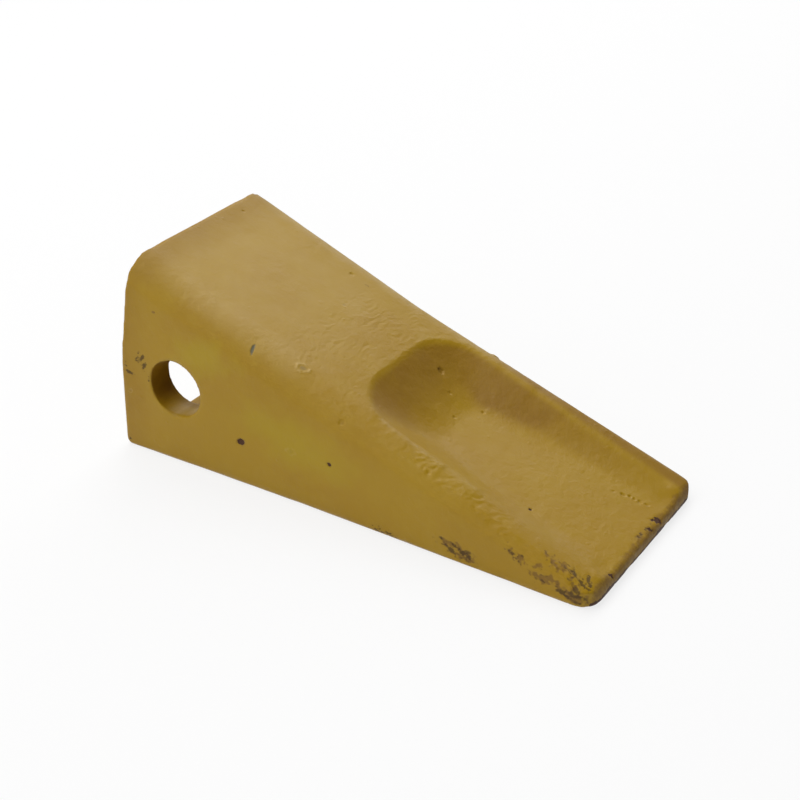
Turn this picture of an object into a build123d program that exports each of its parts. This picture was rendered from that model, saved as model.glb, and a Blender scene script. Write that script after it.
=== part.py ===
"""Cast steel bucket tooth: a wedge with a nose socket, two pin cheeks and a dished top.

Frame, in millimetres: the origin is the middle of the cross pin bore, +X points to the
cutting tip, +Y to the left cheek and +Z up from the flat bottom face.
"""

from math import atan, cos, sin
import os

from build123d import *

# Outside of the wedge.
length = 233.0
height = 94.0
tip_thickness = 7.6
rear_width = 96.7
waist_width = 94.7
tip_width = 98.4
waist_from_rear = 98.0

# Rounding of the outside edges.
top_edge_radius = 14.0
tip_top_edge_radius = 4.3
bottom_edge_radius = 2.4
tip_corner_radius = 8.3
nose_top_radius = 5.8
heel_radius = 3.0
lip_edge_radius = 1.5

# Rear edge of the cheeks, seen from the side.
cheek_peak_height = 40.0
cheek_peak_inset = 1.1
top_lip_inset = 10.5

# Cross bore for the retaining pin.
pin_bore_radius = 13.0
pin_from_rear = 31.3
pin_above_bottom = 37.0

# Nose socket, open to the rear.
cheek_thickness = 12.5
roof_thickness = 12.0
lip_thickness = 8.2
lip_setback = 9.5
lip_corner_radius = 7.0
socket_length = 105.0
socket_end_width = 58.0
socket_end_floor = 12.0
socket_corner_radius = 8.0
socket_end_radius = 6.0

# Dish in the top face, open to the tip.
dish_from_rear = 113.5
dish_width = 73.0
dish_depth = 9.3
dish_corner_radius = 22.0
dish_rear_run = 36.0
dish_side_run = 25.0
dish_tip_depth = 1.2
dish_blend_radius = 30.0
dish_rim_radius = 2.5

# Places worked out from the sizes above.
rear = -pin_from_rear
tip = rear + length
waist = rear + waist_from_rear
bottom = -pin_above_bottom
top_lip = rear + top_lip_inset
top_fall = (height - tip_thickness) / (length - top_lip_inset)
top_angle = atan(top_fall)
overrun = 10.0


def top_height(x):
    """Height of the sloping top face at x."""
    return bottom + height - top_fall * (x - top_lip)


def half_width(x):
    """Half of the outside width at x, widest at the tip and least at the waist."""
    if x < waist:
        return (rear_width + (waist_width - rear_width) * (x - rear) / (waist - rear)) / 2
    return (waist_width + (tip_width - waist_width) * (x - waist) / (tip - waist)) / 2


def roof_height(x):
    """Height of the socket's roof at x, which runs parallel to the top face."""
    return top_height(x) - roof_thickness / cos(top_angle)


def floor_height(x):
    """Height of the socket's floor at x, which rises a little towards the end."""
    rise = (socket_end_floor - lip_thickness) / socket_length
    return bottom + lip_thickness + rise * (x - rear)


def socket_half_width(x):
    """Half of the socket's width at x, which narrows from the cheeks to the end."""
    mouth = rear_width / 2 - cheek_thickness
    return mouth + (socket_end_width / 2 - mouth) * (x - rear) / socket_length


# The socket's hollow, a rounded wedge that runs out past the mouth.
with BuildPart() as hollow:
    for x in (rear - overrun, rear + socket_length):
        with BuildSketch(Plane.YZ.offset(x)) as section:
            with Locations((0, (roof_height(x) + floor_height(x)) / 2)):
                Rectangle(2 * socket_half_width(x), roof_height(x) - floor_height(x))
            fillet(section.vertices(), radius=socket_corner_radius)
    loft(ruled=True)
    fillet(hollow.faces().sort_by(Axis.X)[-1].edges(), radius=socket_end_radius)

# The dish's hollow, concave walls around a flat floor that rises to the tip.
dish_plane = Plane(
    origin=(top_lip, 0, bottom + height),
    x_dir=(cos(top_angle), 0, -sin(top_angle)),
    z_dir=(sin(top_angle), 0, cos(top_angle)),
)
dish_start = (rear + dish_from_rear - top_lip) / cos(top_angle)
dish_end = (tip - top_lip) / cos(top_angle)
wall_steps = ((-0.9, -0.62), (0.0, 0.0), (0.55, 0.42), (0.87, 0.75), (1.0, 1.0))
foot = dish_plane.from_local_coords(Vector(dish_start + dish_rear_run, 0, -dish_depth))
toe = dish_plane.from_local_coords(Vector(dish_end, 0, -dish_tip_depth))
dish_floor = Plane(origin=foot, x_dir=toe - foot, z_dir=(toe - foot).cross(Vector(0, 1, 0)))

with BuildPart() as dish:
    for depth_share, run_share in wall_steps:
        start = dish_start + dish_rear_run * run_share
        end = dish_end + 2 * overrun
        width = dish_width - 2 * dish_side_run * run_share
        corner = dish_corner_radius * (1 - 0.8 * run_share)
        with BuildSketch(dish_plane.offset(-dish_depth * depth_share)) as outline:
            with Locations(((start + end) / 2, 0)):
                Rectangle(end - start, width)
            fillet(outline.vertices().group_by(Axis.X)[0], radius=corner)
    loft()
    split(bisect_by=dish_floor, keep=Keep.TOP)
    floor_edges = dish.faces().filter_by(dish_floor).sort_by(Axis.Z)[0].edges()
    fillet(floor_edges.sort_by(Axis.X)[:-1], radius=dish_blend_radius)

# What rounds the left long edge of the top off: it is cut away outside a tapering round.
with BuildPart() as edge_round:
    for x, radius in ((rear, top_edge_radius), (waist, top_edge_radius), (tip, tip_top_edge_radius)):
        inner = half_width(x) - radius
        lower = top_height(x) - radius
        with BuildSketch(Plane.YZ.offset(x)) as section:
            with Locations((inner + (radius + overrun) / 2, lower + (radius + overrun) / 2)):
                Rectangle(radius + overrun, radius + overrun)
            with Locations((inner, lower)):
                Circle(radius=radius, mode=Mode.SUBTRACT)
    loft(ruled=True)

# The casting: the wedge, trimmed to its side view and its plan, then hollowed.
with BuildPart() as tooth:
    with BuildSketch(Plane.XZ) as side_view:
        with BuildLine() as side_line:
            heel = (rear, bottom)
            peak = (rear + cheek_peak_inset, bottom + cheek_peak_height)
            lip = (top_lip, bottom + height)
            nose_top = (tip, bottom + tip_thickness)
            nose_bottom = (tip, bottom)
            FilletPolyline(
                heel, peak, lip, nose_top, nose_bottom,
                radius=(heel_radius, 0, lip_edge_radius, nose_top_radius, 0),
                close=True,
            )
        make_face()
    extrude(amount=tip_width, both=True)

    with BuildSketch(Plane.XY.offset(bottom)) as plan:
        with BuildLine() as plan_line:
            left = [(x, half_width(x)) for x in (rear, waist, tip)]
            right = [(x, -y) for x, y in reversed(left)]
            Polyline(*left, *right, close=True)
        make_face()
        fillet(plan.vertices().group_by(Axis.X)[-1], radius=tip_corner_radius)
    extrude(amount=height, mode=Mode.INTERSECT)

    bottom_edges = tooth.faces().sort_by(Axis.Z)[0].edges().sort_by(Axis.X)[1:]
    fillet(bottom_edges, radius=bottom_edge_radius)

    add(edge_round.part, mode=Mode.SUBTRACT)
    add(edge_round.part.mirror(Plane.XZ), mode=Mode.SUBTRACT)

    old_edges = tooth.edges() + dish.edges()
    add(dish.part, mode=Mode.SUBTRACT)
    new_edges = tooth.edges(Select.LAST).filter_by(GeomType.LINE, reverse=True)
    rim = new_edges.filter_by(lambda edge: all(old.distance_to(edge @ 0.5) > 0.01 for old in old_edges))
    fillet(rim, radius=dish_rim_radius)

    add(hollow.part, mode=Mode.SUBTRACT)

    with BuildSketch(Plane.XY.offset(bottom - overrun)) as lip_gap:
        with Locations((rear + lip_setback / 2, 0)):
            Rectangle(lip_setback, 2 * socket_half_width(rear))
        fillet(lip_gap.vertices().group_by(Axis.X)[-1], radius=lip_corner_radius)
    extrude(amount=overrun + lip_thickness + socket_corner_radius, mode=Mode.SUBTRACT)

    with BuildSketch(Plane.XZ) as bore:
        Circle(radius=pin_bore_radius)
    extrude(amount=tip_width, both=True, mode=Mode.SUBTRACT)

tooth.part.label = "tooth"

os.makedirs("parts", exist_ok=True)
export_step(tooth.part, "parts/tooth.step")
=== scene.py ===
"""Dresses the cast bucket tooth and stages it as in the product picture.

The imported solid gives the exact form. A fine skin of the same form replaces it here: its
edges are softened as a sand casting's are, its paint carries ripples, wrinkles, pits and chips,
and the tip and the lower edges are worn. Sizes are in millimetres until they reach a mesh.
The frame is the CAD's: the origin is the middle of the pin bore, +X points to the tip,
+Y to the left cheek and +Z up.
"""

import logging
import math
import random
from dataclasses import dataclass, field
from enum import Enum

import bmesh
import bpy
from bmesh.types import BMEdge, BMesh, BMFace, BMVert
from mathutils import Matrix, Vector, noise
from mathutils.bvhtree import BVHTree
from mathutils.kdtree import KDTree


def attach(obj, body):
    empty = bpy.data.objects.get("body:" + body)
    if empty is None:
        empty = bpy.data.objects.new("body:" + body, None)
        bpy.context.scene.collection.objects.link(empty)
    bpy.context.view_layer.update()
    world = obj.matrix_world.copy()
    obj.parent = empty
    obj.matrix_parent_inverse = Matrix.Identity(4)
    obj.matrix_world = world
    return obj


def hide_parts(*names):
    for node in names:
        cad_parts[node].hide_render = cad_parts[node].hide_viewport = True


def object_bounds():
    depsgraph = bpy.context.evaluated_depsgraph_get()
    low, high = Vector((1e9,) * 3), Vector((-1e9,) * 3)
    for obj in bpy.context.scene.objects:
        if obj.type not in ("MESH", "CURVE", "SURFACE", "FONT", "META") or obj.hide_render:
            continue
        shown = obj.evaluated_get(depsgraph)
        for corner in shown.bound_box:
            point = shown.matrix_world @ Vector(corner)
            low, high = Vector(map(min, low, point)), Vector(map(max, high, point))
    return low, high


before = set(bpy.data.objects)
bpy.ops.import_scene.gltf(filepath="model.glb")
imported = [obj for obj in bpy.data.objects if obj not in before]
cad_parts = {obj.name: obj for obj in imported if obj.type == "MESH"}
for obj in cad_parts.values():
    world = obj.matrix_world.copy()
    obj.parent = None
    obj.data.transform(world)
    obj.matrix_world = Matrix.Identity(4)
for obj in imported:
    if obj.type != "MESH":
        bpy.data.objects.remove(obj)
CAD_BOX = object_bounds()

MM = 0.001
LOG = logging.getLogger("bucket_tooth")

# Short names for types: a material's socket, red, green and blue, and where a value rises and falls.
Socket = bpy.types.NodeSocket
Colour = tuple[float, float, float]
Span = tuple[float, float, float, float]

# Where the faces of the casting lie, in millimetres, as in the CAD.
REAR = -31.3
TIP = 201.7
BOTTOM = -37.0
TOP_LIP_X = -20.8
TOP_LIP_Z = 57.0
TOP_FALL = (94.0 - 7.6) / (233.0 - 10.5)
TOP_ANGLE = math.atan(TOP_FALL)
HALF_WIDTH = 48.0
SOCKET_HALF_WIDTH = 37.0
PIN_RADIUS = 13.0

# The middle of the tooth's length along X, in metres.
MIDDLE_X = 0.08

# How the skin under a mark is searched, in millimetres: the margin round the oval, the spacing of
# the searched places, the reach round each, and the depths at which the dish may lie.
MARGIN = 2.0
PLACE_SPACING = 3.0
PLACE_REACH = 4.0
DISH_DEPTHS = (0.0, 4.0, 8.0)


def smooth_step(low: float, high: float, value: float) -> float:
    """Rise smoothly from 0 to 1.

    Args:
        low: The value at which the rise starts.
        high: The value at which it ends.
        value: The value to place between them.

    Returns:
        0 below low, 1 above high and a smooth share between.
    """
    share = min(1.0, max(0.0, (value - low) / (high - low)))
    return share * share * (3.0 - 2.0 * share)


def fall(low: float, high: float, value: float) -> float:
    """Fall smoothly from 1 at low to 0 at high."""
    return 1.0 - smooth_step(low, high, value)


def plateau(span: Span, value: float) -> float:
    """Rise smoothly between the first two values of a span and fall between the last two."""
    return smooth_step(span[0], span[1], value) * fall(span[2], span[3], value)


def top_height(x: float) -> float:
    """Give the height of the sloping top at a place along X, in millimetres."""
    return TOP_LIP_Z - TOP_FALL * (x - TOP_LIP_X)


def put_in_scene(name: str, data: bpy.types.ID) -> bpy.types.Object:
    """Make an object of a mesh, a lamp or a camera and link it to the scene."""
    made = bpy.data.objects.new(name, data)
    bpy.context.scene.collection.objects.link(made)
    return made


def search_tree(points: list[Vector]) -> KDTree:
    """Make points searchable by their place.

    Args:
        points: The points in millimetres.

    Returns:
        The tree, which numbers them in their order.
    """
    tree = KDTree(len(points))
    for index, point in enumerate(points):
        tree.insert(point, index)
    tree.balance()
    return tree


def grain(point: Vector, scale: float, octaves: int = 2) -> float:
    """Read smooth noise at a point.

    Args:
        point: The point in millimetres.
        scale: The size of one swell in millimetres.
        octaves: How many finer layers are added.

    Returns:
        A value of about -1 to 1.
    """
    return noise.fractal(point / scale, 1.0, 2.0, octaves)


class Side(Enum):
    """The faces that carry marks, with their outward directions."""

    TOP = (math.sin(TOP_ANGLE), 0.0, math.cos(TOP_ANGLE))
    NEAR = (0.0, -1.0, 0.0)
    FAR = (0.0, 1.0, 0.0)
    BOTTOM = (0.0, 0.0, -1.0)

    def facing(self, normal: Vector) -> float:
        """Tell how squarely a surface with this normal lies on this face, 1 at most."""
        return normal.dot(Vector(self.value))

    def local(self, point: Vector) -> tuple[float, float]:
        """Give a point's place on this face: x and y or, on the cheeks, x and z."""
        return point.x, (point.y if self in (Side.TOP, Side.BOTTOM) else point.z)

    def places(self, along: float, across: float) -> list[tuple[float, float, float]]:
        """Give the points in space at a place on this face.

        Args:
            along: The place along the face.
            across: The place across it.

        Returns:
            One point, or several at different depths where the dish lies under the top.
        """
        if self is Side.TOP:
            return [(along, across, top_height(along) - depth) for depth in DISH_DEPTHS]
        if self is Side.BOTTOM:
            return [(along, across, BOTTOM)]
        return [(along, self.value[1] * HALF_WIDTH, across)]


class Kind(Enum):
    """What a mark on the casting is."""

    PIT = "pit"
    DENT = "dent"
    CHIP = "chip"
    RING = "ring"
    STAIN = "stain"
    SCUFF = "scuff"
    BUMP = "bump"
    WORN = "worn"
    OLIVE = "olive"
    SLATE = "slate"


@dataclass
class Effect:
    """What the marks and the wear do at one point of the skin.

    Attributes:
        push: Millimetres outwards along the normal, negative inwards.
        bare: Share of the paint that is gone, down to dark steel.
        stain: Share of rust or dirt that covers the paint.
        scuff: Share of a dark rub on the paint.
        chalk_and_sheen: Share of pale, chalky paint on rings, and of painted sheen on the top and a painted
            highlight along its near edge.
        olive: Share of greener paint.
        slate: Share of bluish grey undercoat.
        primer_and_painted_shade: Share of a darker brown primer colour: painted shade on the dish's walls,
            the far ridge and the bore's wall, and darker brown deeper in the socket and toward the rear
            edges.
    """

    push: float = 0.0
    bare: float = 0.0
    stain: float = 0.0
    scuff: float = 0.0
    chalk_and_sheen: float = 0.0
    olive: float = 0.0
    slate: float = 0.0
    primer_and_painted_shade: float = 0.0

    def lay(self, finish: str, share: float) -> None:
        """Cover the point with at least this share of a finish."""
        setattr(self, finish, max(getattr(self, finish), share))


# The finishes that the skin hands on to its material, as attributes of these names.
FINISHES = ("bare", "stain", "scuff", "chalk_and_sheen", "olive", "slate", "primer_and_painted_shade")

# The even finishes of each kind of mark: the finish, its share at the middle, and where it starts to
# fade and has faded, where 1 is the mark's outline.
COATS = {
    Kind.PIT: (("bare", 1.0, 0.55, 0.95), ("stain", 0.50, 0.9, 1.5)),
    Kind.DENT: (("stain", 0.40, 0.45, 1.0),),
    Kind.CHIP: (("scuff", 0.75, 0.5, 0.95),),
    Kind.STAIN: (("stain", 0.8, 0.45, 1.0),),
    Kind.SLATE: (("slate", 1.0, 0.5, 1.0),),
    Kind.OLIVE: (("olive", 1.0, 0.15, 1.15),),
}

# Where the floor of a round and of a flat mark ends, and where the rims of chips and rings lie.
CORE = (0.45, 1.0)
FLAT = (0.82, 1.0)
CHIP_RIM = (0.70, 0.90, 0.95, 1.30)
RING_RIM = (0.45, 0.75, 0.85, 1.15)


@dataclass(frozen=True)
class Mark:
    """One blemish in the cast skin or its paint, as an oval on a face.

    Attributes:
        side: The face that carries it.
        kind: What it is.
        along: Its middle along the face, in millimetres.
        across: Its middle across the face, in millimetres.
        length: The oval's length.
        width: The oval's width.
        depth: How deep it goes in, or how far a bump comes out.
        turn: The oval's turn in degrees.
        ragged: How uneven its outline is, from 0 to 1.
    """

    side: Side
    kind: Kind
    along: float
    across: float
    length: float
    width: float
    depth: float = 0.3
    turn: float = 0.0
    ragged: float = 0.3

    def turned(self, along: float, across: float) -> tuple[float, float]:
        """Turn two coordinates on the face into those along the oval's length and width."""
        cosine, sine = math.cos(math.radians(self.turn)), math.sin(math.radians(self.turn))
        return along * cosine + across * sine, across * cosine - along * sine

    def distance(self, point: Vector) -> float:
        """Measure how far out a point lies in the oval.

        Args:
            point: The point in millimetres.

        Returns:
            0 at the middle and 1 on the ragged outline.
        """
        along, across = self.side.local(point)
        u, v = self.turned(along - self.along, across - self.across)
        swell = 1.0 + self.ragged * grain(point, max(0.8, self.width * 0.35))
        return math.hypot(u / (self.length / 2), v / (self.width / 2)) / max(0.3, swell)

    def streaks(self, point: Vector, size: float) -> float:
        """Read fine noise of this size that is drawn out along the oval's length."""
        u, v = self.turned(*self.side.local(point))
        return grain(Vector((u / 2.2, v, self.along)), size, 4)

    def faces(self, normal: Vector) -> bool:
        """Tell whether a surface with this normal belongs to the mark's face."""
        return self.side.facing(normal) > 0.55

    def around(self, tree: KDTree) -> set[int]:
        """Find the cells or points that lie on and near the oval.

        Args:
            tree: The cells or points, made searchable.

        Returns:
            Their numbers.
        """
        reach = max(self.length, self.width) / 2 + MARGIN
        count = max(1, math.ceil(reach / PLACE_SPACING))
        steps = [reach * step / count for step in range(-count, count + 1)]
        found = set()
        for du in steps:
            for dv in steps:
                for place in self.side.places(self.along + du, self.across + dv):
                    found.update(index for _, index, _ in tree.find_range(place, PLACE_REACH))
        return found

    def apply(self, point: Vector, effect: Effect) -> None:
        """Add the mark's effect at a point.

        Args:
            point: The point in millimetres.
            effect: What happens there, added to.
        """
        out = self.distance(point)
        for finish, share, start, end in COATS.get(self.kind, ()):
            effect.lay(finish, share * fall(start, end, out))
        if self.kind in (Kind.PIT, Kind.DENT, Kind.SLATE):
            effect.push -= self.depth * fall(*CORE, out)
        elif self.kind is Kind.BUMP:
            effect.push += self.depth * fall(*CORE, out)
        elif self.kind is Kind.CHIP:
            effect.push -= self.depth * (fall(*FLAT, out) - 0.45 * plateau(CHIP_RIM, out))
        elif self.kind is Kind.RING:
            rim = plateau(RING_RIM, out) * smooth_step(-0.5, 0.3, grain(point, 2.6, 2))
            effect.push += self.depth * rim
            effect.lay("chalk_and_sheen", min(0.65, 2.8 * self.depth) * rim)
            effect.lay("slate", 1.8 * self.depth * fall(0.2, 0.6, out))
        elif self.kind is Kind.SCUFF:
            streak = smooth_step(-0.55, 0.35, self.streaks(point, 1.5))
            effect.lay("scuff", fall(0.35, 1.15, out) * streak)
            effect.push -= 0.2 * self.depth * fall(*FLAT, out) * streak
        elif self.kind is Kind.WORN:
            patch = smooth_step(-0.3, 0.3, grain(point, 2.4, 3))
            speck = smooth_step(-0.10, 0.55, self.streaks(point, 1.6))
            effect.lay("stain", (0.45 + 0.45 * patch) * fall(*CORE, out))
            effect.lay("scuff", 0.80 * fall(0.3, 1.1, out) * speck)
            effect.push -= 0.4 * self.depth * fall(*CORE, out) * patch


@dataclass(frozen=True)
class CastSkin:
    """The swells of the casting and the ripples of its paint, in millimetres.

    Attributes:
        swell: Depth of the broad unevenness.
        swell_size: Its size.
        dimple: Depth of the finer unevenness.
        dimple_size: Its size.
        ripple: Height of the paint ripples behind the dish.
        ripple_pitch: Their spacing.
        ripple_middle: The place along X that they run round.
        ripple_reach: Between which distances from it they lie.
        ripple_along: Between which places along X they lie.
        wrinkle: Height of the paint wrinkles on the ridge beside the dish.
        wrinkle_pitch: Their spacing.
        wrinkle_along: Between which places along X they lie.
    """

    swell: float = 0.32
    swell_size: float = 42.0
    dimple: float = 0.10
    dimple_size: float = 9.0
    ripple: float = 0.13
    ripple_pitch: float = 2.3
    ripple_middle: float = 110.0
    ripple_reach: Span = (20.0, 30.0, 54.0, 72.0)
    ripple_along: Span = (30.0, 46.0, 80.0, 95.0)
    wrinkle: float = 0.20
    wrinkle_pitch: float = 3.4
    wrinkle_along: Span = (108.0, 122.0, 150.0, 176.0)

    def push(self, point: Vector, normal: Vector) -> float:
        """Work out how far the skin lies inside the exact form.

        Args:
            point: The point on the exact form, in millimetres.
            normal: The outward direction there.

        Returns:
            Millimetres along the normal, never outwards.
        """
        depth = self.swell * (0.5 + 0.5 * grain(point, self.swell_size))
        depth += self.dimple * (0.5 + 0.5 * grain(point, self.dimple_size))
        upward = Side.TOP.facing(normal)
        if upward > 0.8:
            depth += self.behind_dish(point)
        if upward > 0.55:
            depth += self.on_ridge(point)
        return -max(0.0, depth)

    def behind_dish(self, point: Vector) -> float:
        """Give the depth of the ripples that run round the dish's rear rim."""
        reach = math.hypot(point.x - self.ripple_middle, 0.8 * point.y)
        zone = plateau(self.ripple_reach, reach) * plateau(self.ripple_along, point.x)
        zone *= smooth_step(-0.40, 0.40, grain(point + Vector((9.0, 3.0, 0.0)), 11.0))
        phase = (reach + 3.6 * grain(point, 9.0, 3)) / self.ripple_pitch
        return self.ripple * zone * (0.5 + 0.5 * math.sin(math.tau * phase))

    def on_ridge(self, point: Vector) -> float:
        """Give the depth of the wrinkles on the near ridge, towards the tip."""
        zone = plateau(self.wrinkle_along, point.x) * smooth_step(34.0, 39.0, -point.y)
        zone *= smooth_step(-0.35, 0.35, grain(point + Vector((0.0, 7.0, 2.0)), 9.0))
        slant = point.x * 0.5 - point.y * 0.85
        phase = (slant + 4.6 * grain(point, 7.5, 3)) / self.wrinkle_pitch
        return self.wrinkle * zone * (0.5 + 0.5 * math.sin(math.tau * phase)) ** 2


@dataclass(frozen=True)
class Patch:
    """A soft-edged patch of the skin, as it is seen from above.

    Attributes:
        share: Its share of a finish at the middle.
        along: Where along X it rises and falls, in millimetres.
        across: Where along Y it rises and falls.
    """

    share: float
    along: Span
    across: Span

    def at(self, point: Vector) -> float:
        """Give its share at a point."""
        return self.share * plateau(self.along, point.x) * plateau(self.across, point.y)


@dataclass(frozen=True)
class PaintWear:
    """Where the paint is dirty or darker apart from the marks, and where shade, sheen and a highlight are
    painted into it.

    Attributes:
        tip: Share of brown on the tip's face.
        tip_depth: How deep that face is worn, in millimetres.
        low: Share of brown on the lower edges.
        wall: How much painted shade darkens the dish's walls.
        ridge: How much painted shade darkens the far ridge beside the dish.
        foot: How much painted shade darkens the foot of the dish's far wall.
        rear: How much darker brown is laid at the rear edges.
        rear_reach: How far from them it is laid, in millimetres.
        top_sheen_patch: Where painted sheen lightens the rear of the top.
        edge_highlight_patch: Where a painted highlight lightens its near edge more.
    """

    tip: float = 0.76
    tip_depth: float = 0.18
    low: float = 0.30
    wall: float = 0.80
    ridge: float = 0.80
    foot: float = 0.42
    rear: float = 0.48
    rear_reach: float = 24.0
    top_sheen_patch: Patch = Patch(0.14, (-15.0, -3.0, 45.0, 80.0), (-46.0, -38.0, 18.0, 40.0))
    edge_highlight_patch: Patch = Patch(0.18, (-6.0, 14.0, 50.0, 74.0), (-47.0, -41.5, -39.0, -29.0))

    def apply(self, point: Vector, normal: Vector, effect: Effect) -> None:
        """Add the wear at a point.

        Args:
            point: The point in millimetres.
            normal: The outward direction there.
            effect: What happens there, added to.
        """
        self.on_edges(point, effect)
        # Painted sheen and a painted highlight on the top; painted shade in the dish and the bore; darker
        # brown deeper in the socket and toward the rear edges.
        effect.lay("chalk_and_sheen", self.painted_sheen(point, normal))
        effect.lay("primer_and_painted_shade", self.in_socket(point, normal))
        effect.lay("primer_and_painted_shade", self.dish_shade(point, normal))
        effect.lay("primer_and_painted_shade", self.bore_shade(point))
        effect.lay("primer_and_painted_shade", self.at_rear(point, normal))

    def on_edges(self, point: Vector, effect: Effect) -> None:
        """Wear the tip's edge and the lower edges.

        Args:
            point: The point in millimetres.
            effect: What happens there, added to.
        """
        ragged = grain(point, 6.0, 3)
        nose = smooth_step(TIP - 5.5, TIP - 1.0, point.x + 1.6 * ragged)
        effect.lay("stain", self.tip * nose)
        corner = math.hypot(point.x - TIP, point.z - BOTTOM)
        effect.lay("bare", fall(2.2, 3.9, corner + 1.3 * ragged))
        effect.push -= self.tip_depth * nose * smooth_step(-0.1, 0.7, ragged)
        low = fall(0.6, 3.2, point.z - BOTTOM + 2.4 * grain(point, 13.0, 3))
        effect.lay("stain", self.low * low * smooth_step(60.0, 150.0, point.x))

    def painted_sheen(self, point: Vector, normal: Vector) -> float:
        """Give the painted sheen on the rear of the top and the painted highlight along its near edge."""
        if Side.TOP.facing(normal) < 0.3:
            return 0.0
        uneven = 1.0 + 0.5 * grain(point, 12.0, 3)
        return max(0.0, uneven) * (self.top_sheen_patch.at(point) + self.edge_highlight_patch.at(point))

    def in_socket(self, point: Vector, normal: Vector) -> float:
        """Tell how far into the socket a point lies, from 0 outside to 1 at the end."""
        within = abs(point.y) < SOCKET_HALF_WIDTH + 1.0 and point.x < 75.0
        open_faced = normal.x < -0.6 and point.x < REAR + 16.0
        outside = point.z < BOTTOM + 1.5 or point.z > top_height(point.x) - 4.0
        if not within or open_faced or outside:
            return 0.0
        return smooth_step(REAR, REAR + 60.0, point.x)

    def dish_shade(self, point: Vector, normal: Vector) -> float:
        """Give the painted shade on the dish's walls, at the foot of its far wall and on the far ridge,
        from 0 to 1.
        """
        if normal.z < 0.2 or point.y < -38.0:
            return 0.0
        # Painted shade on the far ridge.
        if point.y > 38.0:
            return self.ridge * smooth_step(96.0, 130.0, point.x) * smooth_step(37.0, 41.0, point.y)
        # Painted shade on the dish's walls, less towards the tip, and at the foot of the far wall.
        wall = smooth_step(0.15, 1.5, top_height(point.x) - point.z) * smooth_step(70.0, 80.0, point.x)
        wall *= fall(0.950, 0.998, Side.TOP.facing(normal))
        wall *= smooth_step(-15.0, 7.0, point.y + 1.2 * (118.0 - point.x))
        wall *= 1.0 - 0.60 * smooth_step(130.0, 190.0, point.x)
        foot = plateau((20.0, 27.0, 33.0, 38.0), point.y) * smooth_step(108.0, 130.0, point.x)
        foot *= 1.0 - 0.7 * smooth_step(150.0, 195.0, point.x)
        return max(self.wall * wall, self.foot * foot)

    def bore_shade(self, point: Vector) -> float:
        """Give the painted shade on the bore's wall, most at its upper rear."""
        if math.hypot(point.x, point.z) > PIN_RADIUS + 0.2:
            return 0.0
        return smooth_step(-2.0, 8.0, 0.45 * point.z - 0.89 * point.x + 2.0 * grain(point, 6.0, 3))

    def at_rear(self, point: Vector, normal: Vector) -> float:
        """Tell how much darker brown is laid toward the outside's rear edges, from 0 to 1."""
        start = REAR + (TOP_LIP_X - REAR) * smooth_step(0.2, 0.8, normal.z)
        return self.rear * fall(start, start + self.rear_reach, point.x)


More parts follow.
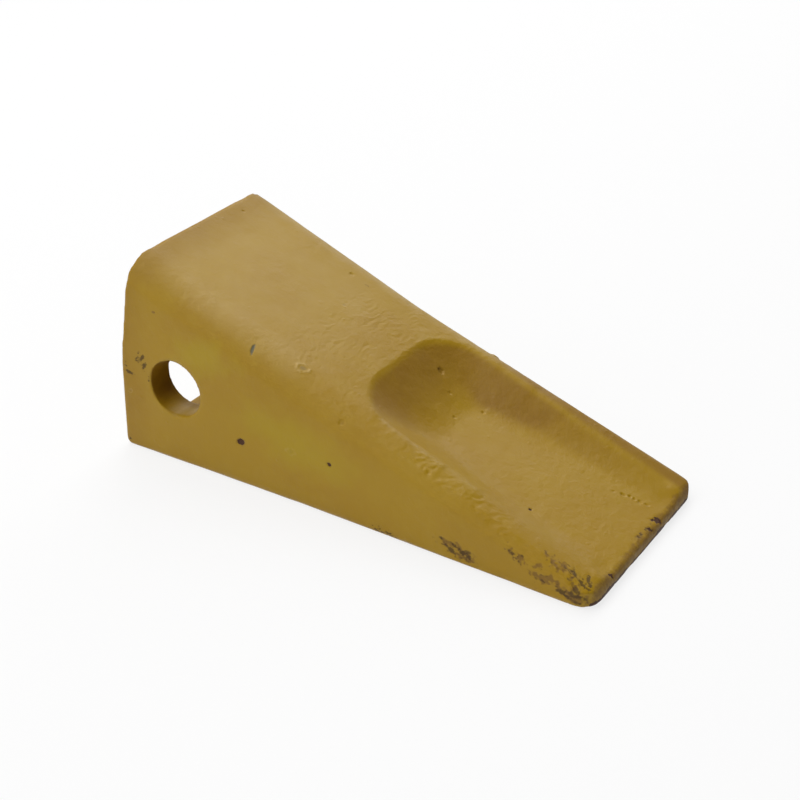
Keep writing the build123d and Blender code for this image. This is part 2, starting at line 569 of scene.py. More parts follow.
def picture_marks() -> list[Mark]:
    """List the marks that the picture shows on the top and the near cheek.

    Returns:
        The marks, first the near cheek's and then the top's.
    """
    pit, dent, ring, stain, scuff = Kind.PIT, Kind.DENT, Kind.RING, Kind.STAIN, Kind.SCUFF
    bump, worn, olive, slate = Kind.BUMP, Kind.WORN, Kind.OLIVE, Kind.SLATE
    # Each row: the kind, the middle along and across, the length, width, depth, turn and raggedness.
    near = [
        (pit, 34.3, -15.4, 5.6, 4.0, 0.7, 20.0),
        (pit, 79.8, -11.4, 2.8, 2.3, 0.5),
        (dent, 85.3, 9.6, 3.6, 2.8, 0.25),
        (ring, 60.4, -11.6, 5.4, 4.4, 0.06, 20.0),
        (scuff, -18.0, 10.4, 8.4, 5.4, 0.25, 35.0, 0.6),
        (scuff, -16.2, 6.6, 5.6, 3.4, 0.25, 60.0, 0.6),
        (scuff, -24.8, 1.2, 6.4, 2.8, 0.15, -12.0, 0.6),
        (scuff, -26.6, 4.6, 2.4, 5.4, 0.15, 0.0, 0.6),
        (scuff, -28.6, -33.2, 2.4, 3.6, 0.15, 0.0, 0.5),
        (ring, -25.3, -8.0, 3.4, 2.2, 0.10, 30.0),
        (stain, -8.2, 34.9, 2.8, 2.4, 0.1),
        (scuff, -14.4, 1.0, 1.6, 3.8, 0.2),
        (pit, 11.2, -2.5, 1.5, 1.5, 0.3),
        (scuff, 106.7, -34.6, 13.0, 3.6, 0.3, -2.0, 0.9),
        (scuff, 140.6, -30.4, 18.0, 6.6, 0.3, -14.0, 0.8),
        (worn, 142.0, -30.5, 22.0, 8.5, 0.2, -14.0, 0.9),
        (worn, 168.0, -23.0, 14.0, 6.0, 0.25, -25.0, 1.0),
        (worn, 181.0, -28.0, 24.0, 8.0, 0.25, -22.0, 1.0),
        (worn, 194.0, -31.5, 14.0, 9.0, 0.35, -20.0, 0.9),
        (scuff, 194.5, -31.0, 13.0, 6.0, 0.3, -35.0, 0.7),
        (scuff, 190.0, -32.0, 12.0, 4.0, 0.3, -12.0, 0.8),
        (olive, 62.0, -8.0, 76.0, 30.0, 0.0, -12.0, 0.5),
        (olive, 16.0, 20.0, 40.0, 22.0, 0.0, 10.0, 0.6),
    ]
    top = [
        (dent, 39.6, 30.4, 2.6, 2.2, 0.35),
        (stain, 48.1, 29.9, 3.0, 2.0, 0.1),
        (dent, -13.6, 23.0, 2.0, 1.6, 0.25),
        (slate, 40.2, -43.4, 4.2, 1.8, 0.2, 95.0),
        (ring, 61.6, -38.2, 6.6, 4.4, 0.20, 15.0, 0.15),
        (bump, 42.7, 2.1, 2.6, 2.0, 0.12),
        (ring, 49.5, 9.6, 3.4, 3.0, 0.12, 0.0, 0.2),
        (dent, 94.4, 17.0, 3.4, 3.0, 0.7),
        (bump, 97.6, 15.4, 3.0, 2.6, 0.05),
        (dent, 102.4, 11.6, 2.2, 1.8, 0.3),
        (dent, 116.8, 14.8, 1.8, 1.6, 0.4),
        (dent, 110.2, 2.0, 2.0, 1.6, 0.3),
        (pit, 159.9, -22.2, 2.0, 1.8, 0.4),
        (dent, 182.8, 16.8, 3.2, 2.2, 0.45),
        (dent, 185.4, 18.1, 2.2, 2.0, 0.40),
        (dent, 187.2, 18.2, 2.0, 1.8, 0.40),
        (dent, 189.8, 18.7, 2.4, 2.0, 0.40),
        (dent, 192.7, 19.1, 2.6, 1.8, 0.35),
        (dent, 179.0, 15.4, 2.0, 1.6, 0.25),
        (dent, 125.3, -43.6, 2.2, 1.8, 0.35),
        (bump, 105.5, 45.5, 5.0, 5.0, 0.60),
        (pit, 199.4, 13.8, 4.0, 4.6, 0.4, 0.0, 0.9),
        (pit, 199.8, 6.6, 2.4, 3.0, 0.3, 0.0, 0.9),
        (worn, 198.6, 2.0, 4.0, 26.0, 0.2, -8.0, 1.0),
        (pit, 200.4, -30.2, 2.4, 3.4, 0.3, 0.0, 0.8),
        (scuff, 193.5, -44.0, 14.0, 4.0, 0.3, -25.0, 0.9),
        (scuff, 196.5, -42.0, 9.0, 3.0, 0.3, -60.0, 0.9),
        (worn, 186.0, -44.0, 22.0, 7.0, 0.15, -4.0, 1.0),
    ]
    return [Mark(Side.NEAR, *row) for row in near] + [Mark(Side.TOP, *row) for row in top]


@dataclass
class HiddenMarks:
    """Marks of the same kinds on the faces that the picture doesn't show.

    Attributes:
        seed: The seed of their places.
        per_face: How many small marks each face carries.
    """

    seed: int = 41
    per_face: int = 9

    def spread(self) -> list[Mark]:
        """Wear the far cheek and the bottom and scatter small pits, stains and chips over them.

        Returns:
            The marks.
        """
        dice = random.Random(self.seed)
        marks = [
            Mark(Side.FAR, Kind.WORN, 186.0, -30.0, 24.0, 8.0, 0.3, -18.0, 1.0),
            Mark(Side.FAR, Kind.SCUFF, 96.0, -33.5, 15.0, 4.0, 0.3, 2.0, 1.0),
            Mark(Side.BOTTOM, Kind.WORN, 196.0, 12.0, 16.0, 60.0, 0.3, 0.0, 1.0),
            Mark(Side.BOTTOM, Kind.SCUFF, 120.0, -22.0, 46.0, 7.0, 0.25, 8.0, 1.0),
            Mark(Side.BOTTOM, Kind.SCUFF, 60.0, 20.0, 38.0, 5.0, 0.25, -12.0, 1.0),
        ]
        for _ in range(self.per_face):
            x = dice.uniform(-20.0, 150.0)
            z = dice.uniform(BOTTOM + 5.0, top_height(x) - 16.0)
            marks.append(self.small(dice, Side.FAR, x, z))
            marks.append(self.small(dice, Side.BOTTOM, dice.uniform(0.0, 190.0), dice.uniform(-42.0, 42.0)))
        return marks

    def small(self, dice: random.Random, side: Side, along: float, across: float) -> Mark:
        """Make one small mark.

        Args:
            dice: The seeded source of its size and kind.
            side: The face that carries it.
            along: Its middle along the face.
            across: Its middle across the face.

        Returns:
            The mark.
        """
        kind = dice.choice((Kind.PIT, Kind.PIT, Kind.STAIN, Kind.CHIP))
        length = dice.uniform(1.8, 4.2)
        width = length * dice.uniform(0.6, 1.0)
        depth = dice.uniform(0.2, 0.6)
        turn = dice.uniform(0.0, 180.0)
        return Mark(side, kind, along, across, length, width, depth, turn)


@dataclass(frozen=True)
class SharpEdge:
    """One sharp outer edge of the exact form, in millimetres.

    Attributes:
        start: One end.
        end: The other end.
        first: The outward direction of one face beside it.
        second: That of the other face.
    """

    start: Vector
    end: Vector
    first: Vector
    second: Vector

    def foot(self, point: Vector) -> Vector:
        """Find the place on the edge that is nearest to a point.

        Args:
            point: The point.

        Returns:
            The place on the edge.
        """
        run = self.end - self.start
        share = (point - self.start).dot(run) / run.length_squared
        return self.start + run * min(1.0, max(0.0, share))

    def rounded(self, point: Vector, radius: float) -> Vector:
        """Move a point on the sharp form to the round that takes the edge off.

        Args:
            point: The point.
            radius: The round's radius.

        Returns:
            The point on the round, or the point itself where the round doesn't reach.
        """
        foot = self.foot(point)
        centre = foot - (self.first + self.second) * (radius / (1.0 + self.first.dot(self.second)))
        tangent = (self.end - self.start).normalized()
        spoke = point - centre
        slide = tangent * spoke.dot(tangent)
        spoke -= slide
        middle = (self.first + self.second).normalized()
        if spoke.normalized().dot(middle) < middle.dot(self.first):
            return point
        return centre + slide + spoke.normalized() * radius


@dataclass
class EdgeMap:
    """The sharp outer edges of the exact form, ready to be searched.

    Attributes:
        least_angle: From this angle between its faces, in degrees, an edge is sharp.
        spacing: How far apart the searched places are, in millimetres.
        edges: The edges.
        places: For each searched place, the number of its edge.
        tree: The searched places.
    """

    least_angle: float = 28.0
    spacing: float = 0.6
    edges: list[SharpEdge] = field(default_factory=list)
    places: list[int] = field(default_factory=list)
    tree: KDTree | None = None

    def read(self, closed: BMesh) -> None:
        """Collect the sharp outer edges of a closed mesh.

        Args:
            closed: The exact form.
        """
        spots = []
        for edge in closed.edges:
            if edge.calc_face_angle_signed(0.0) < math.radians(self.least_angle):
                continue
            start, end = (vert.co / MM for vert in edge.verts)
            first, second = (face.normal.copy() for face in edge.link_faces)
            self.edges.append(SharpEdge(start, end, first, second))
            count = max(1, math.ceil((end - start).length / self.spacing))
            for step in range(count + 1):
                spots.append(start.lerp(end, step / count))
                self.places.append(len(self.edges) - 1)
        self.tree = search_tree(spots)

    def nearest(self, point: Vector) -> tuple[SharpEdge, float]:
        """Find the nearest sharp edge.

        Args:
            point: The point in millimetres.

        Returns:
            The edge and its distance.
        """
        _, index, _ = self.tree.find(point)
        edge = self.edges[self.places[index]]
        return edge, (edge.foot(point) - point).length


@dataclass
class CastTooth:
    """The tooth's one casting, as a fine skin that stands for the CAD node.

    Attributes:
        node: The CAD node that it replaces.
        cell: The size of the skin's even cells.
        fine_cuts: How often a cell under a mark is cut.
        edge_radius: The radius to which the sharp edges are worn.
        bore_edge_radius: The same at the pin bore.
        edge_reach: How far from a sharp edge the skin is cut finer.
        lip_rounds: How often the rear edge of the top is smoothed.
        corner_starts: From each distance to the middle on, the upper rear corners are smoothed once more.
        rim_rounds: From each place along X on, how often the dish's long rims are smoothed.
        mark_margin: How far round a mark the skin is cut finer.
        tip_fine: How far from the tip the skin is cut once.
        rippled: Between which places along X the top is cut once.
        wrinkled: The same for the ridge beside the dish.
        marks: The blemishes.
        skin: The unevenness of the casting and its paint.
        wear: The wear of the paint.
    """

    node: str = "tooth"
    cell: float = 1.55
    fine_cuts: int = 3
    edge_radius: float = 1.1
    bore_edge_radius: float = 0.5
    edge_reach: float = 2.6
    lip_rounds: int = 1
    corner_starts: tuple[float, ...] = (26.0, 29.0, 32.0, 35.0, 38.0)
    rim_rounds: tuple[tuple[float, int], ...] = ((96.0, 6), (112.0, 10), (128.0, 14), (144.0, 20))
    mark_margin: float = 2.2
    tip_fine: float = 12.0
    rippled: tuple[float, float] = (40.0, 96.0)
    wrinkled: tuple[float, float] = (98.0, 178.0)
    marks: list[Mark] = field(default_factory=list)
    skin: CastSkin = field(default_factory=CastSkin)
    wear: PaintWear = field(default_factory=PaintWear)

    def merged_copy(self) -> bpy.types.Object:
        """Copy the CAD node's mesh and merge its loose triangles.

        Returns:
            A new object with a closed mesh.
        """
        mesh = bpy.data.meshes.new("tooth_casting")
        bm = bmesh.new()
        bm.from_mesh(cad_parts[self.node].data)
        bmesh.ops.remove_doubles(bm, verts=bm.verts[:], dist=0.002 * MM)
        bm.to_mesh(mesh)
        bm.free()
        return put_in_scene("tooth_casting", mesh)

    def even_cells(self, piece: bpy.types.Object) -> BMesh:
        """Divide the closed mesh into even cells.

        Args:
            piece: The object with the closed mesh.

        Returns:
            The evenly divided form.
        """
        remesh = piece.modifiers.new("even_cells", "REMESH")
        remesh.mode = "VOXEL"
        remesh.voxel_size = self.cell * MM
        graph = bpy.context.evaluated_depsgraph_get()
        even = bpy.data.meshes.new_from_object(piece.evaluated_get(graph))
        piece.modifiers.remove(remesh)
        bm = bmesh.new()
        bm.from_mesh(even)
        bpy.data.meshes.remove(even)
        return bm

    def settle(self, verts: list[BMVert], exact: BVHTree) -> None:
        """Put points onto the exact form.

        Args:
            verts: The points.
            exact: The exact form.
        """
        for vert in verts:
            vert.co = exact.find_nearest(vert.co)[0]

    def soften(self, bm: BMesh, exact: BVHTree, sharp: EdgeMap) -> None:
        """Round the edges as a sand casting's are and keep the faces where they are.

        Args:
            bm: The skin.
            exact: The exact form.
            sharp: Its sharp edges.
        """
        self.settle(bm.verts[:], exact)
        beside = [edge for edge in bm.edges if self.beside(edge, sharp)]
        bmesh.ops.subdivide_edges(bm, edges=beside, cuts=1, use_grid_fill=True)
        self.settle(bm.verts[:], exact)
        bm.normal_update()
        band = []
        for vert in bm.verts:
            edge, gap = sharp.nearest(vert.co / MM)
            if gap < self.edge_reach:
                at_bore = math.hypot(edge.start.x, edge.start.z) < PIN_RADIUS + 1.0
                radius = self.bore_edge_radius if at_bore else self.edge_radius
                vert.co = edge.rounded(vert.co / MM, radius) * MM
                band.append(vert)
        self.smooth(bm, band, 3)
        lip = [vert for vert in bm.verts if self.on_lip(vert)]
        self.smooth(bm, lip, self.lip_rounds)
        for start in self.corner_starts:
            self.smooth(bm, [vert for vert in bm.verts if self.on_corner(vert, start)], 1)
        for start, rounds in self.rim_rounds:
            self.smooth(bm, [vert for vert in bm.verts if self.on_rim(vert, start)], rounds)

    def smooth(self, bm: BMesh, verts: list[BMVert], rounds: int) -> None:
        """Even out some points by their neighbours.

        Args:
            bm: The skin.
            verts: The points.
            rounds: How often they are moved.
        """
        for _ in range(rounds):
            bmesh.ops.smooth_vert(
                bm, verts=verts, factor=0.5, use_axis_x=True, use_axis_y=True, use_axis_z=True
            )

    def on_lip(self, vert: BMVert) -> bool:
        """Tell whether a point lies on the rear edge of the top."""
        point = vert.co / MM
        return point.x < TOP_LIP_X + 4.0 and point.z > TOP_LIP_Z - 6.0

    def on_corner(self, vert: BMVert, start: float) -> bool:
        """Tell whether a point lies where a long rounded edge meets the rear edge.

        Args:
            vert: The point.
            start: How far from the middle the corner starts, in millimetres.

        Returns:
            True on the two upper rear corners.
        """
        point = vert.co / MM
        drop = TOP_LIP_Z - point.z
        return point.x < TOP_LIP_X - 0.17 * drop + 4.0 and abs(point.y) > start and drop < 16.0

    def on_rim(self, vert: BMVert, start: float) -> bool:
        """Tell whether a point lies on a long rim of the dish, beyond a place along it.

        Args:
            vert: The point.
            start: Where the rim is taken from, in millimetres along X.

        Returns:
            True on the rims beyond that place.
        """
        point = vert.co / MM
        under = top_height(point.x) - point.z
        beside = 24.0 < abs(point.y) < 44.0 and start < point.x < TIP - 6.0
        return beside and -1.0 < under < 5.0 and vert.normal.z > 0.5

    def beside(self, edge: BMEdge, sharp: EdgeMap) -> bool:
        """Tell whether one of the skin's edges lies beside a sharp edge."""
        middle = (edge.verts[0].co + edge.verts[1].co) / 2 / MM
        return sharp.nearest(middle)[1] < self.edge_reach

    def refine(self, bm: BMesh) -> None:
        """Cut the cells finer under the marks, the ripples and the worn edges.

        Args:
            bm: The skin.
        """
        bm.normal_update()
        faces = bm.faces[:]
        centres = search_tree([face.calc_center_median() / MM for face in faces])
        fine = set()
        for mark in self.marks:
            if mark.kind is not Kind.OLIVE:
                found = (faces[index] for index in mark.around(centres))
                fine.update(face for face in found if self.is_under(mark, face))
        middle = {face for face in faces if face not in fine and self.is_rippled(face)}
        for chosen, cuts in ((middle, 1), (fine, self.fine_cuts)):
            edges = list({edge for face in chosen for edge in face.edges})
            bmesh.ops.subdivide_edges(bm, edges=edges, cuts=cuts, use_grid_fill=True)

    def is_under(self, mark: Mark, face: BMFace) -> bool:
        """Tell whether a mark or its margin covers a cell."""
        out = mark.distance(face.calc_center_median() / MM)
        return mark.faces(face.normal) and out < 1.0 + self.mark_margin / mark.width

    def is_rippled(self, face: BMFace) -> bool:
        """Tell whether a cell lies where the paint is rippled or the edges are worn."""
        centre = face.calc_center_median() / MM
        if centre.x > TIP - self.tip_fine:
            return True
        if Side.TOP.facing(face.normal) < 0.8:
            return False
        on_ridge = centre.y < -31.0 and self.wrinkled[0] < centre.x < self.wrinkled[1]
        return on_ridge or self.rippled[0] < centre.x < self.rippled[1]

    def weather(self, bm: BMesh) -> None:
        """Push the skin in and out and note on each point what its finish is.

        Args:
            bm: The skin, cut fine.
        """
        bm.normal_update()
        layers = {name: bm.verts.layers.float.new(name) for name in FINISHES}
        verts = bm.verts[:]
        points = [vert.co / MM for vert in verts]
        effects = [Effect(self.skin.push(point, vert.normal)) for point, vert in zip(points, verts)]
        tree = search_tree(points)
        for mark in self.marks:
            for index in mark.around(tree):
                if mark.faces(verts[index].normal):
                    mark.apply(points[index], effects[index])
        for vert, point, effect in zip(verts, points, effects):
            self.wear.apply(point, vert.normal, effect)
            for name, layer in layers.items():
                vert[layer] = min(1.0, getattr(effect, name))
            vert.co += vert.normal * (effect.push * MM)

    def keep_in_box(self, bm: BMesh) -> None:
        """Keep every point inside the CAD's box."""
        low, high = Vector(CAD_BOX[0]), Vector(CAD_BOX[1])
        for vert in bm.verts:
            vert.co = Vector(min(max(c, a), b) for c, a, b in zip(vert.co, low, high))

    def build(self) -> bpy.types.Object:
        """Build the casting's skin and let it stand for the CAD node.

        Returns:
            The finished piece, not yet painted.
        """
        piece = self.merged_copy()
        closed = bmesh.new()
        closed.from_mesh(piece.data)
        exact = BVHTree.FromBMesh(closed)
        sharp = EdgeMap()
        sharp.read(closed)
        closed.free()
        bm = self.even_cells(piece)
        LOG.info("even cells: %d faces", len(bm.faces))
        self.soften(bm, exact, sharp)
        self.refine(bm)
        self.weather(bm)
        self.keep_in_box(bm)
        for face in bm.faces:
            face.smooth = True
        bmesh.ops.triangulate(bm, faces=[face for face in bm.faces if len(face.verts) > 4])
        LOG.info("fine skin: %d faces", len(bm.faces))
        bm.to_mesh(piece.data)
        bm.free()
        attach(piece, "root")
        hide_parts(self.node)
        return piece


@dataclass
class Bench:
    """The nodes of a material or of the world, joined by short calls.

    Attributes:
        material: The material or the world.
    """

    material: bpy.types.Material | bpy.types.World

    @classmethod
    def fresh(cls, name: str) -> "Bench":
        """Start a material with no nodes.

        Args:
            name: The material's name.

        Returns:
            The bench.
        """
        material = bpy.data.materials.new(name)
        material.use_nodes = True
        material.node_tree.nodes.clear()
        return cls(material)

    def node(self, kind: str, inputs: dict | None = None, **settings: object) -> bpy.types.Node:
        """Add a node.

        Args:
            kind: The node's type.
            inputs: A socket or a value for each of its inputs, by name or number.
            settings: Its properties.

        Returns:
            The node.
        """
        made = self.material.node_tree.nodes.new(kind)
        for name, value in settings.items():
            setattr(made, name, value)
        for name, value in (inputs or {}).items():
            if isinstance(value, Socket):
                self.material.node_tree.links.new(value, made.inputs[name])
            else:
                made.inputs[name].default_value = value
        return made

    def looked_at(self) -> Socket:
        """Give 1 where the camera, a reflection or clear glass looks, and 0 for other light."""
        path = self.node("ShaderNodeLightPath")
        seen = self.sums("MAXIMUM", path.outputs["Is Camera Ray"], path.outputs["Is Glossy Ray"])
        return self.sums("MAXIMUM", seen, path.outputs["Is Transmission Ray"])

    def attribute(self, name: str) -> Socket:
        """Read one of the skin's own attributes."""
        return self.node("ShaderNodeAttribute", attribute_name=name).outputs["Fac"]

    def place(self) -> Socket:
        """Read the object's own coordinates."""
        return self.node("ShaderNodeTexCoord").outputs["Object"]

    def noise(self, size: float, detail: float, rough: float = 0.55, tall: float = 1.0) -> Socket:
        """Add noise in the object's own coordinates.

        Args:
            size: The size of one swell in millimetres.
            detail: How many finer layers it has.
            rough: How strong they are.
            tall: How many times higher than wide the swells are.

        Returns:
            Its value, about 0.5 on average.
        """
        shape = {"Vector": self.place(), "Scale": (1.0, 1.0, 1.0 / tall)}
        drawn = self.node("ShaderNodeMapping", shape).outputs["Vector"]
        inputs = {"Vector": drawn, "Scale": 1.0 / (size * MM), "Detail": detail, "Roughness": rough}
        return self.node("ShaderNodeTexNoise", inputs).outputs["Fac"]

    def spots(self, size: float) -> Socket:
        """Scatter spots this far apart and give the distance to the nearest one's middle."""
        inputs = {"Vector": self.place(), "Scale": 1.0 / (size * MM)}
        return self.node("ShaderNodeTexVoronoi", inputs).outputs["Distance"]

    def sums(self, operation: str, first: object, second: object) -> Socket:
        """Join two sockets or numbers by the arithmetic that Blender calls by this name."""
        return self.node("ShaderNodeMath", {0: first, 1: second}, operation=operation).outputs[0]

    def times(self, first: object, second: object) -> Socket:
        """Multiply two sockets or numbers."""
        return self.sums("MULTIPLY", first, second)

    def span(self, value: Socket, low: float, high: float, start: float = 0.0, end: float = 1.0) -> Socket:
        """Map a span of values smoothly onto another.

        Args:
            value: The value.
            low: Where the span starts.
            high: Where it ends.
            start: What low becomes.
            end: What high becomes.

        Returns:
            The mapped value.
        """
        inputs = {"Value": value, "From Min": low, "From Max": high, "To Min": start, "To Max": end}
        return self.node("ShaderNodeMapRange", inputs, interpolation_type="SMOOTHSTEP").outputs["Result"]

    def blend(self, share: Socket, under: object, over: Colour) -> Socket:
        """Lay one colour over another.

        Args:
            share: How much of the upper colour shows.
            under: The lower colour, a socket or red, green and blue.
            over: The upper colour.

        Returns:
            The mixed colour.
        """
        lower = under if isinstance(under, Socket) else (*under, 1.0)
        inputs = {"Factor": share, 6: lower, 7: (*over, 1.0)}
        return self.node("ShaderNodeMix", inputs, data_type="RGBA").outputs[2]


@dataclass(frozen=True)
class Finish:
    """One finish that lies over the paint.

    Attributes:
        name: The skin's attribute that carries its share.
        colour: Its colour, linear.
        cover: How much it hides at most.
        edge: The size of its ragged edge in millimetres and the values between which it fills.
    """

    name: str
    colour: Colour
    cover: float = 1.0
    edge: tuple[float, float, float] | None = None


@dataclass(frozen=True)
class WornPaint:
    """Thick ochre paint on cast steel, chipped, rubbed and stained.

    Attributes:
        paint: The paint's colour, linear.
        deep: Its colour where it lies thick.
        pale: Its colour where it is chalky.
        olive: Its colour where it is greener.
        over: From the lowest: a darker brown primer colour, which paints shade into the dish and the bore,
            pale, chalky paint, which also paints sheen and a highlight on the top, rust and brown
        dirt, dark brown rubs, bluish grey undercoat and the bare, darkened steel.
        gloss_roughness: The paint's roughness.
        bare_roughness: The steel's roughness.
        specular: How strongly the surface mirrors.
        run_share: How much the runs in the paint show.
        fleck_share: How much its chalky flecks show.
        peel: The least and the greatest height of the orange peel, in millimetres.
        sand: The height of the fine grain.
        grit: The height of the steel's grain.
        pimple: The height of the small spots.
    """

    paint: Colour = (0.374, 0.221, 0.0055)
    deep: Colour = (0.360, 0.206, 0.0045)
    pale: Colour = (0.392, 0.243, 0.0100)
    olive: Colour = (0.388, 0.256, 0.0040)
    over: tuple[Finish, ...] = (
        # Darker brown primer colour: painted shade in the dish and the bore, and darker brown deeper in the
        # socket and toward the rear edges.
        Finish("primer_and_painted_shade", (0.200, 0.084, 0.004), 0.72),
        # Pale, chalky paint on rings, and painted sheen on the top with a painted highlight along its near
        # edge.
        Finish("chalk_and_sheen", (0.520, 0.360, 0.120)),
        Finish("stain", (0.175, 0.088, 0.018), 0.75, (1.8, 0.30, 0.95)),
        Finish("scuff", (0.052, 0.025, 0.003), 0.80, (0.9, 0.12, 0.85)),
        Finish("slate", (0.120, 0.110, 0.062)),
        Finish("bare", (0.072, 0.028, 0.010), 1.0, (1.1, 0.42, 0.62)),
    )
    gloss_roughness: float = 0.42
    bare_roughness: float = 0.62
    specular: float = 0.30
    run_share: float = 0.16
    fleck_share: float = 0.35
    peel: tuple[float, float] = (0.14, 0.34)
    sand: float = 0.02
    grit: float = 0.22
    pimple: float = 0.09

    def paint_colour(self, bench: Bench) -> Socket:
        """Vary the paint's colour softly over the casting.

        Args:
            bench: The material's nodes.

        Returns:
            The colour.
        """
        broad = bench.span(bench.noise(38.0, 2.0), 0.38, 0.66)
        flecks = bench.span(bench.noise(5.0, 4.0), 0.45, 0.75)
        runs = bench.span(bench.noise(3.6, 3.0, 0.6, 7.0), 0.42, 0.72)
        colour = bench.blend(broad, self.paint, self.deep)
        colour = bench.blend(bench.times(runs, self.run_share), colour, self.deep)
        colour = bench.blend(bench.attribute("olive"), colour, self.olive)
        return bench.blend(bench.times(flecks, self.fleck_share), colour, self.pale)

    def mask(self, bench: Bench, finish: Finish) -> Socket:
        """Read a finish's share from the skin and break up its edge, if the finish says how.

        Args:
            bench: The material's nodes.
            finish: The finish.

        Returns:
            The share.
        """
        value = bench.attribute(finish.name)
        if finish.edge is None:
            return value
        size, low, high = finish.edge
        uneven = bench.times(bench.sums("SUBTRACT", bench.noise(size, 4.0, 0.65), 0.5), 0.9)
        ragged = bench.span(bench.sums("ADD", value, uneven), low, high)
        return bench.times(ragged, bench.span(value, 0.0, 0.12))

    def bump(self, bench: Bench, bare: Socket) -> Socket:
        """Give the paint its orange peel and the steel its grain.

        Args:
            bench: The material's nodes.
            bare: The mask of the bare steel.

        Returns:
            The bent normal.
        """
        depth = bench.span(bench.noise(30.0, 2.0), 0.3, 0.7, *self.peel)
        peel = bench.times(bench.noise(3.4, 4.0, 0.55), depth)
        sand = bench.times(bench.noise(0.9, 2.0, 0.6), self.sand)
        grit = bench.times(bench.times(bench.noise(0.7, 5.0, 0.7), self.grit), bare)
        pimples = bench.times(bench.span(bench.spots(5.0), 0.05, 0.20, 1.0, 0.0), self.pimple)
        pimples = bench.times(pimples, bench.span(bench.noise(17.0, 2.0), 0.48, 0.62))
        height = bench.sums("ADD", bench.sums("ADD", peel, sand), bench.sums("ADD", grit, pimples))
        inputs = {"Distance": MM, "Strength": 1.0, "Height": height}
        return bench.node("ShaderNodeBump", inputs).outputs["Normal"]

    def make(self) -> bpy.types.Material:
        """Make the material.

        Returns:
            The material.
        """
        bench = Bench.fresh("worn_ochre_paint")
        masks = {finish.name: self.mask(bench, finish) for finish in self.over}
        # The painted shade in the dish and the bore, and the darker brown elsewhere, broken into patches.
        patchy = bench.span(bench.noise(14.0, 4.0), 0.25, 0.75, 0.75, 1.0)
        masks["primer_and_painted_shade"] = bench.times(masks["primer_and_painted_shade"], patchy)
        colour = self.paint_colour(bench)
        for finish in self.over:
            colour = bench.blend(bench.times(masks[finish.name], finish.cover), colour, finish.colour)
        worn = bench.times(masks["primer_and_painted_shade"], 0.6)
        for name in ("bare", "stain", "scuff"):
            worn = bench.sums("MAXIMUM", worn, masks[name])
        gloss = self.gloss_roughness
        uneven = bench.span(bench.noise(11.0, 3.0), 0.3, 0.7, gloss - 0.04, gloss + 0.05)
        inputs = {
            "Base Color": colour,
            "Roughness": bench.sums("ADD", uneven, bench.times(worn, self.bare_roughness - gloss)),
            "Specular IOR Level": self.specular,
            "Normal": self.bump(bench, masks["bare"]),
        }
        shader = bench.node("ShaderNodeBsdfPrincipled", inputs)
        bench.node("ShaderNodeOutputMaterial", {"Surface": shader.outputs["BSDF"]})
        return bench.material


@dataclass(frozen=True)
class SoftLamp:
    """One rectangular soft light.

    Attributes:
        name: The lamp's name.
        place: Where it stands, in metres.
        aim: What it points at, in metres.
        width: Its width in metres.
        height: Its height in metres.
        radiance: How bright its face is, where 1 is white.
        upright: The direction that its height follows.
    """

    name: str
    place: tuple[float, float, float]
    aim: tuple[float, float, float]
    width: float
    height: float
    radiance: float
    upright: tuple[float, float, float] = (0.0, 0.0, 1.0)

    def hang(self) -> None:
        """Put the lamp in the scene."""
        lamp = bpy.data.lights.new(self.name, "AREA")
        lamp.shape = "RECTANGLE"
        lamp.size = self.width
        lamp.size_y = self.height
        lamp.energy = self.radiance * math.pi * self.width * self.height
        holder = put_in_scene(self.name, lamp)
        holder.location = self.place
        away = (Vector(self.place) - Vector(self.aim)).normalized()
        side = Vector(self.upright).cross(away).normalized()
        holder.rotation_euler = Matrix((side, away.cross(side), away)).transposed().to_euler()


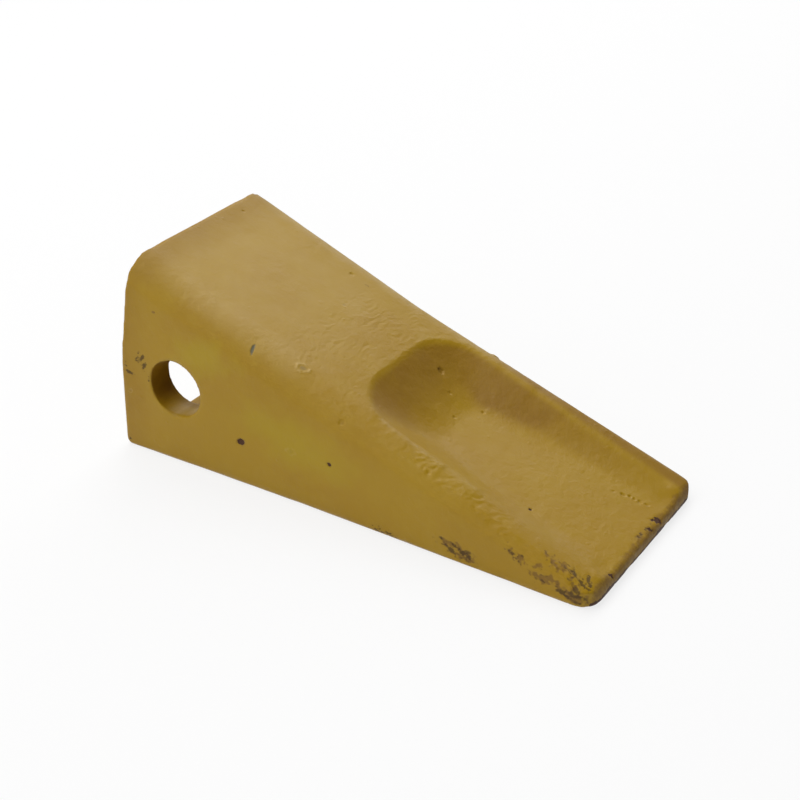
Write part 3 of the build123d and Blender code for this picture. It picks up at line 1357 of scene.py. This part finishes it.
@dataclass(frozen=True)
class PaleFloor:
    """The studio's pale floor, which turns up into a low wall all round.

    Attributes:
        flat: The radius of its flat part in metres.
        wall: The height of the wall in metres.
        cove: The radius of the turn between them in metres.
        cove_steps: How many steps the turn has.
        segments: How many straight pieces each ring has.
        colour: Its colour, linear.
        white: Share of plain white in what the camera and reflections see of it.
    """

    flat: float = 3.4
    wall: float = 1.4
    cove: float = 0.6
    cove_steps: int = 8
    segments: int = 96
    colour: float = 0.86
    white: float = 0.80

    def lay(self) -> bpy.types.Object:
        """Lay the floor under the tooth.

        Returns:
            The floor.
        """
        mesh = bpy.data.meshes.new("studio_floor")
        bm = bmesh.new()
        bmesh.ops.create_circle(bm, cap_ends=True, radius=self.flat, segments=self.segments)
        for step in range(1, self.cove_steps + 1):
            angle = math.radians(90.0) * step / self.cove_steps
            self.raise_rim(bm, self.flat + self.cove * math.sin(angle), self.cove * (1.0 - math.cos(angle)))
        self.raise_rim(bm, self.flat + self.cove, self.wall)
        bmesh.ops.recalc_face_normals(bm, faces=bm.faces[:])
        bmesh.ops.reverse_faces(bm, faces=[face for face in bm.faces if face.normal.z < -0.5])
        bmesh.ops.translate(bm, verts=bm.verts[:], vec=(MIDDLE_X, 0.0, CAD_BOX[0][2]))
        for face in bm.faces:
            face.smooth = len(face.verts) == 4
        bm.to_mesh(mesh)
        bm.free()
        floor = put_in_scene("studio_floor", mesh)
        mesh.materials.append(self.paper())
        return floor

    def raise_rim(self, bm: BMesh, radius: float, height: float) -> None:
        """Extend the floor's outer rim by one ring.

        Args:
            bm: The floor.
            radius: The new ring's radius in metres.
            height: Its height in metres.
        """
        rim = [edge for edge in bm.edges if edge.is_boundary]
        grown = bmesh.ops.extrude_edge_only(bm, edges=rim)["geom"]
        for vert in (part for part in grown if isinstance(part, BMVert)):
            scale = radius / math.hypot(vert.co.x, vert.co.y)
            vert.co = Vector((vert.co.x * scale, vert.co.y * scale, height))

    def paper(self) -> bpy.types.Material:
        """Make the floor's pale paper.

        Returns:
            The material.
        """
        bench = Bench.fresh("pale_paper")
        grey = (self.colour, self.colour, self.colour, 1.0)
        inputs = {
            0: bench.times(bench.looked_at(), self.white),
            1: bench.node("ShaderNodeBsdfDiffuse", {"Color": grey}).outputs["BSDF"],
            2: bench.node("ShaderNodeEmission").outputs["Emission"],
        }
        both = bench.node("ShaderNodeMixShader", inputs)
        bench.node("ShaderNodeOutputMaterial", {"Surface": both.outputs["Shader"]})
        return bench.material


@dataclass(frozen=True)
class Studio:
    """Soft lamps, the sky around them and the camera at the picture's angle.

    Attributes:
        sky: The plain light from all around, where 1 is white.
        eye: The camera's place in metres.
        sight: The direction in which it looks.
        lens: Its focal length in millimetres.
        sensor: Its sensor's width in millimetres.
        nearest: The nearest distance that it sees, in metres.
    """

    sky: float = 0.06
    eye: tuple[float, float, float] = (0.39305, -0.48690, 0.32925)
    sight: tuple[float, float, float] = (-0.46432, 0.73194, -0.49867)
    lens: float = 70.07
    sensor: float = 36.0
    nearest: float = 0.01

    def lamps(self) -> list[SoftLamp]:
        """List the studio's soft lamps."""
        middle, along = (MIDDLE_X, 0.0, 0.0), (0.0, 1.0, 0.0)
        return [
            SoftLamp("overhead_box", (-0.450, 0.474, 1.762), middle, 1.3, 1.5, 3.6, along),
            SoftLamp("front_top_box", (-0.453, -0.762, 1.657), middle, 1.3, 1.0, 3.1, along),
            SoftLamp("rear_box", (-0.451, 1.497, 1.042), middle, 1.3, 1.2, 2.1),
            SoftLamp("front_box", (-0.879, -1.918, 1.079), middle, 2.6, 1.8, 1.25),
        ]

    def open_sky(self) -> None:
        """Light the scene plainly from all around."""
        world = bpy.data.worlds.new("plain_sky")
        world.use_nodes = True
        world.node_tree.nodes.clear()
        bench = Bench(world)
        background = bench.node("ShaderNodeBackground", {"Strength": self.sky})
        bench.node("ShaderNodeOutputWorld", {"Surface": background.outputs["Background"]})
        bpy.context.scene.world = world

    def camera(self) -> None:
        """Set the camera where the picture was taken from."""
        data = bpy.data.cameras.new("picture_camera")
        data.lens = self.lens
        data.sensor_width = self.sensor
        data.clip_start = self.nearest
        holder = put_in_scene("picture_camera", data)
        holder.location = self.eye
        holder.rotation_euler = Vector(self.sight).to_track_quat("-Z", "Y").to_euler()
        bpy.context.scene.camera = holder

    def set_up(self) -> None:
        """Hang the lamps and set the sky, the camera and the plain view."""
        for lamp in self.lamps():
            lamp.hang()
        self.open_sky()
        self.camera()
        bpy.context.scene.view_settings.view_transform = "Standard"


def main() -> None:
    """Build the casting, paint it and set up the studio."""
    tooth = CastTooth(marks=picture_marks() + HiddenMarks().spread())
    casting = tooth.build()
    casting.data.materials.clear()
    casting.data.materials.append(WornPaint().make())
    LOG.info("casting: %d faces", len(casting.data.polygons))
    floor = PaleFloor().lay()
    LOG.info("floor: %s", floor.name)
    Studio().set_up()


if __name__ == "__main__":
    logging.basicConfig(level=logging.INFO, format="%(message)s")
    main()
